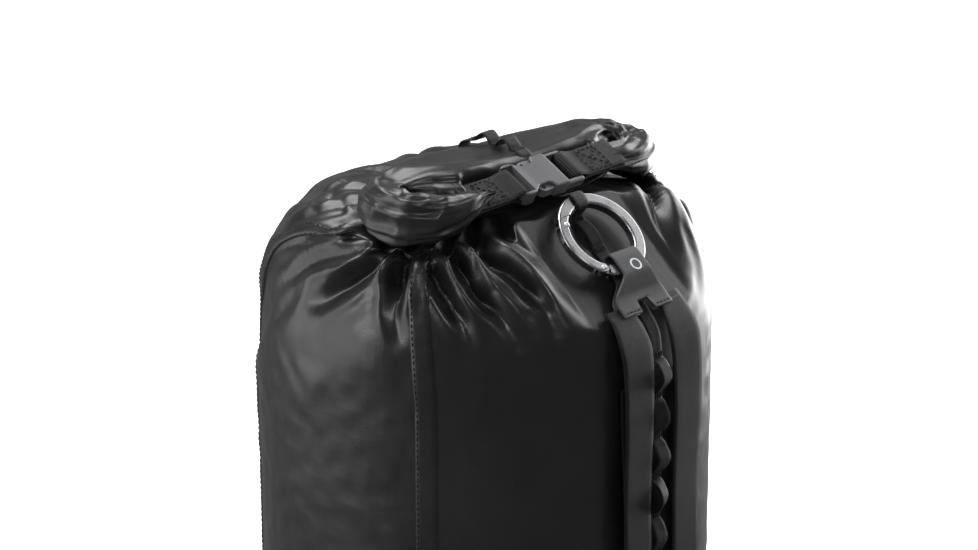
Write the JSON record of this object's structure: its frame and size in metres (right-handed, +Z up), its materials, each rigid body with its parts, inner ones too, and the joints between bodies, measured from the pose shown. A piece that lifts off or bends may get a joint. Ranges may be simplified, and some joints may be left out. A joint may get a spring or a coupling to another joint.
{
  "type": "compression sack",
  "caption": "Stuffed roll-top compression sack with side-release buckle, gated ring carabiner, looped daisy chain and flat carry straps.",
  "frame": {"origin": "centre of the base, on the surface that the sack stands on", "axes": "+Z up along the sack; X along the rolled mouth, with the buckle's socket towards -X; -Y is the front, with the daisy chain, ring and straps"},
  "size_m": [0.2628, 0.2694, 0.4315],
  "materials": {
    "nylon_shell": "glossy ripstop weave",
    "seam_tape": "stitched felled seam",
    "packed_goods": "hidden filling",
    "stiffener": "hidden strip",
    "webbing": "ribbed webbing",
    "ribbon": "flat satin ribbon",
    "buckle": "satin moulded",
    "ring_metal": "satin anodised",
    "pin_steel": "satin",
    "tab": "matt coated",
    "thread": "stitching"
  },
  "bodies": {
    "sack": {"base_panel": "nylon_shell", "front_panel": "nylon_shell", "left_side_panel": "nylon_shell", "right_side_panel": "nylon_shell", "back_panel": "nylon_shell", "rolled_collar": "nylon_shell", "mouth_stiffener": "stiffener", "front_left_seam": "seam_tape", "front_right_seam": "seam_tape", "back_left_seam": "seam_tape", "back_right_seam": "seam_tape", "base_binding": "seam_tape", "packed_load": "packed_goods", "buckle_socket": "buckle", "left_closure_webbing": "webbing", "right_closure_webbing": "webbing", "strap_tab": "tab", "left_carry_strap": "ribbon", "right_carry_strap": "ribbon", "left_strap_keeper": "webbing", "right_strap_keeper": "webbing", "daisy_chain": "ribbon", "chain_bar_tacks": "thread"},
    "plug": {"buckle_plug": "buckle"},
    "upper_prong": {"upper_prong": "buckle"},
    "lower_prong": {"lower_prong": "buckle"},
    "carabiner": {"carabiner_frame": "ring_metal", "gate_hinge_rivet": "pin_steel"},
    "gate": {"carabiner_gate": "ring_metal", "gate_latch_rivet": "pin_steel", "gate_spring": "pin_steel"}
  },
  "joints": [
    {"name": "buckle_slide", "type": "slide", "parent": "sack", "child": "plug", "axis": [1, 0, 0], "range_m": [0, 0.022], "deforming": ["right_closure_webbing", "upper_prong", "lower_prong"]},
    {"name": "upper_pinch", "type": "hinge", "parent": "plug", "child": "upper_prong", "pos_m": [0.0015, -0.04019, 0.41972], "axis": [0, -0.454, 0.891], "range_deg": [0, 12], "stiffness_Nm_per_rad": 0.2},
    {"name": "lower_pinch", "type": "hinge", "parent": "plug", "child": "lower_prong", "pos_m": [0.0015, -0.05481, 0.41228], "axis": [0, -0.454, 0.891], "range_deg": [-12, 0], "stiffness_Nm_per_rad": 0.2},
    {"name": "carabiner_spin", "type": "hinge", "parent": "sack", "child": "carabiner", "pos_m": [0, -0.088, 0.39], "axis": [0, -0.6428, 0.766], "range_deg": [-8, 8]},
    {"name": "gate_open", "type": "hinge", "parent": "carabiner", "child": "gate", "pos_m": [-0.01438, -0.10262, 0.37773], "axis": [0, 0.6428, -0.766], "range_deg": [0, 20], "stiffness_Nm_per_rad": 0.12}
  ],
  "couplings": [
    {"joint": "lower_pinch", "follows": "upper_pinch", "ratio": -1}
  ]
}
